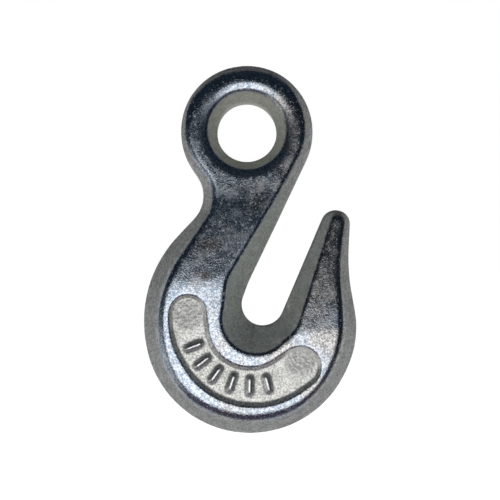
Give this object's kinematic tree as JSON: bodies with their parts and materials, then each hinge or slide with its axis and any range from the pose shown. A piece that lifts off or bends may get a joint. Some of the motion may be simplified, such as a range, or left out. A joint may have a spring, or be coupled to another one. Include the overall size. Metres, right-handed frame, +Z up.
{
  "type": "safety chain hook",
  "caption": "Forged eye grab hook in zinc-plated steel: a round eye, a tapered shank and a C-shaped bowl whose narrow slot grips a chain link edge on.",
  "frame": {"origin": "centre of the eye hole, on the parting plane halfway through the thickness", "axes": "+Z up towards the eye's top, +Y along the eye's axis to the back face, +X to the open side with the point"},
  "size_m": [0.068, 0.017, 0.1169],
  "materials": {
    "zinc_plated_steel": "bright zinc plating over a drop-forged skin, glossy and finely speckled on the faces, matt on the drafted walls"
  },
  "bodies": {
    "root": {"hook_forging": "zinc_plated_steel"}
  },
  "joints": []
}
